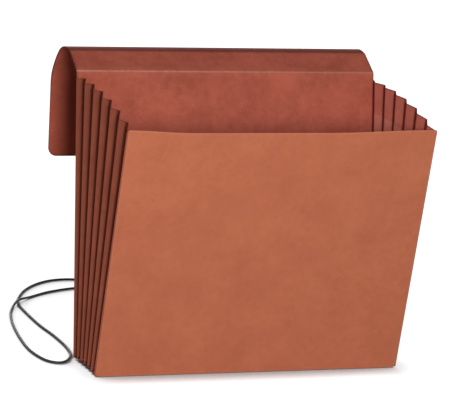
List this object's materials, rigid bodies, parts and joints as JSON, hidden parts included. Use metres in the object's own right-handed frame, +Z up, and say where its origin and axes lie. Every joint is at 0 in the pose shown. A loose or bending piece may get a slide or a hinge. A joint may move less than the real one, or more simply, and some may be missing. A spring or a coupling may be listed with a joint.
{
  "type": "expanding wallet",
  "caption": "Expanding file wallet of pressed fibre stock: two panels, accordion side gussets and base, rolled-back flap and an elastic cord.",
  "frame": {"origin": "middle of the back panel's level foot, on the surface that the wallet stands on", "axes": "+Z up, +X across the wallet to the right seen from the front, +Y from the front panel to the back panel"},
  "size_m": [0.3333, 0.4123, 0.2803],
  "materials": {
    "fibre_front": "matte mottled pressed fibre, light red-brown",
    "fibre_back": "matte mottled pressed fibre, red-brown",
    "fibre_flap": "matte mottled pressed fibre, dark red-brown",
    "gusset_paper": "matte creased gusset stock, dark red-brown",
    "elastic": "matte braided cover, near black"
  },
  "bodies": {
    "back": {"back_panel": "fibre_back", "left_back_tab": "gusset_paper", "right_back_tab": "gusset_paper", "base_back_tab": "gusset_paper", "elastic_cord": "elastic", "cord_knot": "elastic"},
    "front": {"front_panel": "fibre_front", "left_front_tab": "gusset_paper", "right_front_tab": "gusset_paper", "base_front_tab": "gusset_paper"},
    "left_pleat_1_rear_leaf": {"left_pleat_1_rear_leaf": "gusset_paper"},
    "left_pleat_1_front_leaf": {"left_pleat_1_front_leaf": "gusset_paper"},
    "left_pleat_2_rear_leaf": {"left_pleat_2_rear_leaf": "gusset_paper"},
    "left_pleat_2_front_leaf": {"left_pleat_2_front_leaf": "gusset_paper"},
    "left_pleat_3_rear_leaf": {"left_pleat_3_rear_leaf": "gusset_paper"},
    "left_pleat_3_front_leaf": {"left_pleat_3_front_leaf": "gusset_paper"},
    "left_pleat_4_rear_leaf": {"left_pleat_4_rear_leaf": "gusset_paper"},
    "left_pleat_4_front_leaf": {"left_pleat_4_front_leaf": "gusset_paper"},
    "left_pleat_5_rear_leaf": {"left_pleat_5_rear_leaf": "gusset_paper"},
    "left_pleat_5_front_leaf": {"left_pleat_5_front_leaf": "gusset_paper"},
    "left_pleat_6_rear_leaf": {"left_pleat_6_rear_leaf": "gusset_paper"},
    "left_pleat_6_front_leaf": {"left_pleat_6_front_leaf": "gusset_paper"},
    "right_pleat_1_rear_leaf": {"right_pleat_1_rear_leaf": "gusset_paper"},
    "right_pleat_1_front_leaf": {"right_pleat_1_front_leaf": "gusset_paper"},
    "right_pleat_2_rear_leaf": {"right_pleat_2_rear_leaf": "gusset_paper"},
    "right_pleat_2_front_leaf": {"right_pleat_2_front_leaf": "gusset_paper"},
    "right_pleat_3_rear_leaf": {"right_pleat_3_rear_leaf": "gusset_paper"},
    "right_pleat_3_front_leaf": {"right_pleat_3_front_leaf": "gusset_paper"},
    "right_pleat_4_rear_leaf": {"right_pleat_4_rear_leaf": "gusset_paper"},
    "right_pleat_4_front_leaf": {"right_pleat_4_front_leaf": "gusset_paper"},
    "right_pleat_5_rear_leaf": {"right_pleat_5_rear_leaf": "gusset_paper"},
    "right_pleat_5_front_leaf": {"right_pleat_5_front_leaf": "gusset_paper"},
    "right_pleat_6_rear_leaf": {"right_pleat_6_rear_leaf": "gusset_paper"},
    "right_pleat_6_front_leaf": {"right_pleat_6_front_leaf": "gusset_paper"},
    "base_pleat_1_rear_leaf": {"base_pleat_1_rear_leaf": "gusset_paper"},
    "base_pleat_1_front_leaf": {"base_pleat_1_front_leaf": "gusset_paper"},
    "base_pleat_2_rear_leaf": {"base_pleat_2_rear_leaf": "gusset_paper"},
    "base_pleat_2_front_leaf": {"base_pleat_2_front_leaf": "gusset_paper"},
    "base_pleat_3_rear_leaf": {"base_pleat_3_rear_leaf": "gusset_paper"},
    "base_pleat_3_front_leaf": {"base_pleat_3_front_leaf": "gusset_paper"},
    "base_pleat_4_rear_leaf": {"base_pleat_4_rear_leaf": "gusset_paper"},
    "base_pleat_4_front_leaf": {"base_pleat_4_front_leaf": "gusset_paper"},
    "base_pleat_5_rear_leaf": {"base_pleat_5_rear_leaf": "gusset_paper"},
    "base_pleat_5_front_leaf": {"base_pleat_5_front_leaf": "gusset_paper"},
    "base_pleat_6_rear_leaf": {"base_pleat_6_rear_leaf": "gusset_paper"},
    "base_pleat_6_front_leaf": {"base_pleat_6_front_leaf": "gusset_paper"},
    "flap_riser": {"flap_riser": "fibre_flap"},
    "flap_roll_1": {"flap_roll_1": "fibre_flap"},
    "flap_roll_2": {"flap_roll_2": "fibre_flap"},
    "flap_roll_3": {"flap_roll_3": "fibre_flap"},
    "flap_slope": {"flap_slope": "fibre_flap"},
    "flap_roll_4": {"flap_roll_4": "fibre_flap"},
    "flap_apron": {"flap_apron": "fibre_flap"}
  },
  "joints": [
    {"name": "wallet_close", "type": "hinge", "parent": "back", "child": "left_pleat_1_rear_leaf", "pos_m": [-0.14985, -0.0008, 0.00199], "axis": [0, 0.1547, 0.988], "range_deg": [0, 59]},
    {"name": "left_crease_1", "type": "hinge", "parent": "left_pleat_1_rear_leaf", "child": "left_pleat_1_front_leaf", "pos_m": [-0.14789, -0.00505, 0.00795], "axis": [0.0112, 0.1258, 0.992], "range_deg": [-118.01, 0]},
    {"name": "left_crease_2", "type": "hinge", "parent": "left_pleat_1_front_leaf", "child": "left_pleat_2_rear_leaf", "pos_m": [-0.14985, -0.01065, 0.00324], "axis": [0, 0.0967, 0.9953], "range_deg": [0, 118]},
    {"name": "left_crease_3", "type": "hinge", "parent": "left_pleat_2_rear_leaf", "child": "left_pleat_2_front_leaf", "pos_m": [-0.14789, -0.01523, 0.00894], "axis": [0.0112, 0.0676, 0.9977], "range_deg": [-118.01, 0]},
    {"name": "left_crease_4", "type": "hinge", "parent": "left_pleat_2_front_leaf", "child": "left_pleat_3_rear_leaf", "pos_m": [-0.14985, -0.02055, 0.00391], "axis": [0, 0.0384, 0.9993], "range_deg": [0, 118]},
    {"name": "left_crease_5", "type": "hinge", "parent": "left_pleat_3_rear_leaf", "child": "left_pleat_3_front_leaf", "pos_m": [-0.14789, -0.02546, 0.00933], "axis": [0.0112, 0.0092, 0.9999], "range_deg": [-118.01, 0]},
    {"name": "left_crease_6", "type": "hinge", "parent": "left_pleat_3_front_leaf", "child": "left_pleat_4_rear_leaf", "pos_m": [-0.14985, -0.03047, 0.004], "axis": [0, -0.0201, 0.9998], "range_deg": [0, 118]},
    {"name": "left_crease_7", "type": "hinge", "parent": "left_pleat_4_rear_leaf", "child": "left_pleat_4_front_leaf", "pos_m": [-0.14789, -0.03569, 0.00912], "axis": [0.0112, -0.0493, 0.9987], "range_deg": [-118.01, 0]},
    {"name": "left_crease_8", "type": "hinge", "parent": "left_pleat_4_front_leaf", "child": "left_pleat_5_rear_leaf", "pos_m": [-0.14985, -0.04038, 0.00351], "axis": [0, -0.0785, 0.9969], "range_deg": [0, 118]},
    {"name": "left_crease_9", "type": "hinge", "parent": "left_pleat_5_rear_leaf", "child": "left_pleat_5_front_leaf", "pos_m": [-0.14789, -0.0459, 0.00832], "axis": [0.0112, -0.1076, 0.9941], "range_deg": [-118.01, 0]},
    {"name": "left_crease_10", "type": "hinge", "parent": "left_pleat_5_front_leaf", "child": "left_pleat_6_rear_leaf", "pos_m": [-0.14985, -0.05025, 0.00244], "axis": [0, -0.1366, 0.9906], "range_deg": [0, 118]},
    {"name": "left_crease_11", "type": "hinge", "parent": "left_pleat_6_rear_leaf", "child": "left_pleat_6_front_leaf", "pos_m": [-0.14789, -0.05603, 0.00692], "axis": [0.0112, -0.1655, 0.9862], "range_deg": [-118.01, 0]},
    {"name": "front_crease", "type": "hinge", "parent": "left_pleat_6_front_leaf", "child": "front", "pos_m": [-0.14985, -0.06004, 0.0008], "axis": [0, -0.1942, 0.981], "range_deg": [0, 59]},
    {"name": "right_crease_0", "type": "hinge", "parent": "back", "child": "right_pleat_1_rear_leaf", "pos_m": [0.14985, -0.0008, 0.00199], "axis": [0, 0.1547, 0.988], "range_deg": [-59, 0]},
    {"name": "right_crease_1", "type": "hinge", "parent": "right_pleat_1_rear_leaf", "child": "right_pleat_1_front_leaf", "pos_m": [0.14789, -0.00505, 0.00795], "axis": [-0.0112, 0.1258, 0.992], "range_deg": [0, 118.01]},
    {"name": "right_crease_2", "type": "hinge", "parent": "right_pleat_1_front_leaf", "child": "right_pleat_2_rear_leaf", "pos_m": [0.14985, -0.01065, 0.00324], "axis": [0, 0.0967, 0.9953], "range_deg": [-118, 0]},
    {"name": "right_crease_3", "type": "hinge", "parent": "right_pleat_2_rear_leaf", "child": "right_pleat_2_front_leaf", "pos_m": [0.14789, -0.01523, 0.00894], "axis": [-0.0112, 0.0676, 0.9977], "range_deg": [0, 118.01]},
    {"name": "right_crease_4", "type": "hinge", "parent": "right_pleat_2_front_leaf", "child": "right_pleat_3_rear_leaf", "pos_m": [0.14985, -0.02055, 0.00391], "axis": [0, 0.0384, 0.9993], "range_deg": [-118, 0]},
    {"name": "right_crease_5", "type": "hinge", "parent": "right_pleat_3_rear_leaf", "child": "right_pleat_3_front_leaf", "pos_m": [0.14789, -0.02546, 0.00933], "axis": [-0.0112, 0.0092, 0.9999], "range_deg": [0, 118.01]},
    {"name": "right_crease_6", "type": "hinge", "parent": "right_pleat_3_front_leaf", "child": "right_pleat_4_rear_leaf", "pos_m": [0.14985, -0.03047, 0.004], "axis": [0, -0.0201, 0.9998], "range_deg": [-118, 0]},
    {"name": "right_crease_7", "type": "hinge", "parent": "right_pleat_4_rear_leaf", "child": "right_pleat_4_front_leaf", "pos_m": [0.14789, -0.03569, 0.00912], "axis": [-0.0112, -0.0493, 0.9987], "range_deg": [0, 118.01]},
    {"name": "right_crease_8", "type": "hinge", "parent": "right_pleat_4_front_leaf", "child": "right_pleat_5_rear_leaf", "pos_m": [0.14985, -0.04038, 0.00351], "axis": [0, -0.0785, 0.9969], "range_deg": [-118, 0]},
    {"name": "right_crease_9", "type": "hinge", "parent": "right_pleat_5_rear_leaf", "child": "right_pleat_5_front_leaf", "pos_m": [0.14789, -0.0459, 0.00832], "axis": [-0.0112, -0.1076, 0.9941], "range_deg": [0, 118.01]},
    {"name": "right_crease_10", "type": "hinge", "parent": "right_pleat_5_front_leaf", "child": "right_pleat_6_rear_leaf", "pos_m": [0.14985, -0.05025, 0.00244], "axis": [0, -0.1366, 0.9906], "range_deg": [-118, 0]},
    {"name": "right_crease_11", "type": "hinge", "parent": "right_pleat_6_rear_leaf", "child": "right_pleat_6_front_leaf", "pos_m": [0.14789, -0.05603, 0.00692], "axis": [-0.0112, -0.1655, 0.9862], "range_deg": [0, 118.01]},
    {"name": "base_back_crease_0", "type": "hinge", "parent": "back", "child": "base_pleat_1_rear_leaf", "pos_m": [0, -0.0008, 0.00199], "axis": [1, 0, 0], "range_deg": [-60.36, 0]},
    {"name": "base_back_crease_1", "type": "hinge", "parent": "base_pleat_1_rear_leaf", "child": "base_pleat_1_front_leaf", "pos_m": [0, -0.00548, 0.0045], "axis": [1, 0, 0], "range_deg": [0, 118]},
    {"name": "base_back_crease_2", "type": "hinge", "parent": "base_pleat_1_front_leaf", "child": "base_pleat_2_rear_leaf", "pos_m": [0, -0.01065, 0.00324], "axis": [1, 0, 0], "range_deg": [-120.73, 0]},
    {"name": "base_back_crease_3", "type": "hinge", "parent": "base_pleat_2_rear_leaf", "child": "base_pleat_2_front_leaf", "pos_m": [0, -0.01547, 0.00547], "axis": [1, 0, 0], "range_deg": [0, 118]},
    {"name": "base_back_crease_4", "type": "hinge", "parent": "base_pleat_2_front_leaf", "child": "base_pleat_3_rear_leaf", "pos_m": [0, -0.02055, 0.00391], "axis": [1, 0, 0], "range_deg": [-120.73, 0]},
    {"name": "base_back_crease_5", "type": "hinge", "parent": "base_pleat_3_rear_leaf", "child": "base_pleat_3_front_leaf", "pos_m": [0, -0.02549, 0.00586], "axis": [1, 0, 0], "range_deg": [0, 118]},
    {"name": "base_front_crease_0", "type": "hinge", "parent": "front", "child": "base_pleat_6_front_leaf", "pos_m": [0, -0.06004, 0.0008], "axis": [1, 0, 0], "range_deg": [0, 60.36]},
    {"name": "base_front_crease_1", "type": "hinge", "parent": "base_pleat_6_front_leaf", "child": "base_pleat_6_rear_leaf", "pos_m": [0, -0.05546, 0.0035], "axis": [1, 0, 0], "range_deg": [-118, 0]},
    {"name": "base_front_crease_2", "type": "hinge", "parent": "base_pleat_6_rear_leaf", "child": "base_pleat_5_front_leaf", "pos_m": [0, -0.05025, 0.00244], "axis": [1, 0, 0], "range_deg": [0, 120.73]},
    {"name": "base_front_crease_3", "type": "hinge", "parent": "base_pleat_5_front_leaf", "child": "base_pleat_5_rear_leaf", "pos_m": [0, -0.04552, 0.00487], "axis": [1, 0, 0], "range_deg": [-118, 0]},
    {"name": "base_front_crease_4", "type": "hinge", "parent": "base_pleat_5_rear_leaf", "child": "base_pleat_4_front_leaf", "pos_m": [0, -0.04038, 0.00351], "axis": [1, 0, 0], "range_deg": [0, 120.73]},
    {"name": "base_front_crease_5", "type": "hinge", "parent": "base_pleat_4_front_leaf", "child": "base_pleat_4_rear_leaf", "pos_m": [0, -0.03552, 0.00566], "axis": [1, 0, 0], "range_deg": [-118, 0]},
    {"name": "flap_score", "type": "hinge", "parent": "back", "child": "flap_riser", "pos_m": [0, 0.0412, 0.26309], "axis": [1, 0, 0], "range_deg": [0, 155]},
    {"name": "flap_unroll", "type": "hinge", "parent": "flap_riser", "child": "flap_roll_1", "pos_m": [0, 0.0641, 0.2774], "axis": [1, 0, 0], "range_deg": [0, 21]},
    {"name": "flap_bend_2", "type": "hinge", "parent": "flap_roll_1", "child": "flap_roll_2", "pos_m": [0, 0.07588, 0.27969], "axis": [1, 0, 0], "range_deg": [0, 21]},
    {"name": "flap_bend_3", "type": "hinge", "parent": "flap_roll_2", "child": "flap_roll_3", "pos_m": [0, 0.08769, 0.27761], "axis": [1, 0, 0], "range_deg": [0, 21]},
    {"name": "flap_bend_4", "type": "hinge", "parent": "flap_roll_3", "child": "flap_slope", "pos_m": [0, 0.09798, 0.27143], "axis": [1, 0, 0], "range_deg": [0, 21]},
    {"name": "flap_bend_5", "type": "hinge", "parent": "flap_slope", "child": "flap_roll_4", "pos_m": [0, 0.11152, 0.25409], "axis": [1, 0, 0], "range_deg": [0, 21]},
    {"name": "flap_bend_6", "type": "hinge", "parent": "flap_roll_4", "child": "flap_apron", "pos_m": [0, 0.11503, 0.24262], "axis": [1, 0, 0], "range_deg": [0, 21]}
  ],
  "couplings": [
    {"joint": "left_crease_1", "follows": "wallet_close", "ratio": -2.0002},
    {"joint": "left_crease_2", "follows": "wallet_close", "ratio": 2},
    {"joint": "left_crease_3", "follows": "wallet_close", "ratio": -2.0002},
    {"joint": "left_crease_4", "follows": "wallet_close", "ratio": 2},
    {"joint": "left_crease_5", "follows": "wallet_close", "ratio": -2.0002},
    {"joint": "left_crease_6", "follows": "wallet_close", "ratio": 2},
    {"joint": "left_crease_7", "follows": "wallet_close", "ratio": -2.0002},
    {"joint": "left_crease_8", "follows": "wallet_close", "ratio": 2},
    {"joint": "left_crease_9", "follows": "wallet_close", "ratio": -2.0002},
    {"joint": "left_crease_10", "follows": "wallet_close", "ratio": 2},
    {"joint": "left_crease_11", "follows": "wallet_close", "ratio": -2.0002},
    {"joint": "front_crease", "follows": "wallet_close", "ratio": 1},
    {"joint": "right_crease_0", "follows": "wallet_close", "ratio": -1},
    {"joint": "right_crease_1", "follows": "wallet_close", "ratio": 2.0002},
    {"joint": "right_crease_2", "follows": "wallet_close", "ratio": -2},
    {"joint": "right_crease_3", "follows": "wallet_close", "ratio": 2.0002},
    {"joint": "right_crease_4", "follows": "wallet_close", "ratio": -2},
    {"joint": "right_crease_5", "follows": "wallet_close", "ratio": 2.0002},
    {"joint": "right_crease_6", "follows": "wallet_close", "ratio": -2},
    {"joint": "right_crease_7", "follows": "wallet_close", "ratio": 2.0002},
    {"joint": "right_crease_8", "follows": "wallet_close", "ratio": -2},
    {"joint": "right_crease_9", "follows": "wallet_close", "ratio": 2.0002},
    {"joint": "right_crease_10", "follows": "wallet_close", "ratio": -2},
    {"joint": "right_crease_11", "follows": "wallet_close", "ratio": 2.0002},
    {"joint": "base_back_crease_0", "follows": "wallet_close", "ratio": -1.0231},
    {"joint": "base_back_crease_1", "follows": "wallet_close", "ratio": 2},
    {"joint": "base_back_crease_2", "follows": "wallet_close", "ratio": -2.0462},
    {"joint": "base_back_crease_3", "follows": "wallet_close", "ratio": 2},
    {"joint": "base_back_crease_4", "follows": "wallet_close", "ratio": -2.0462},
    {"joint": "base_back_crease_5", "follows": "wallet_close", "ratio": 2},
    {"joint": "base_front_crease_0", "follows": "wallet_close", "ratio": 1.0231},
    {"joint": "base_front_crease_1", "follows": "wallet_close", "ratio": -2},
    {"joint": "base_front_crease_2", "follows": "wallet_close", "ratio": 2.0462},
    {"joint": "base_front_crease_3", "follows": "wallet_close", "ratio": -2},
    {"joint": "base_front_crease_4", "follows": "wallet_close", "ratio": 2.0462},
    {"joint": "base_front_crease_5", "follows": "wallet_close", "ratio": -2},
    {"joint": "flap_bend_2", "follows": "flap_unroll", "ratio": 1},
    {"joint": "flap_bend_3", "follows": "flap_unroll", "ratio": 1},
    {"joint": "flap_bend_4", "follows": "flap_unroll", "ratio": 1},
    {"joint": "flap_bend_5", "follows": "flap_unroll", "ratio": 1},
    {"joint": "flap_bend_6", "follows": "flap_unroll", "ratio": 1}
  ]
}
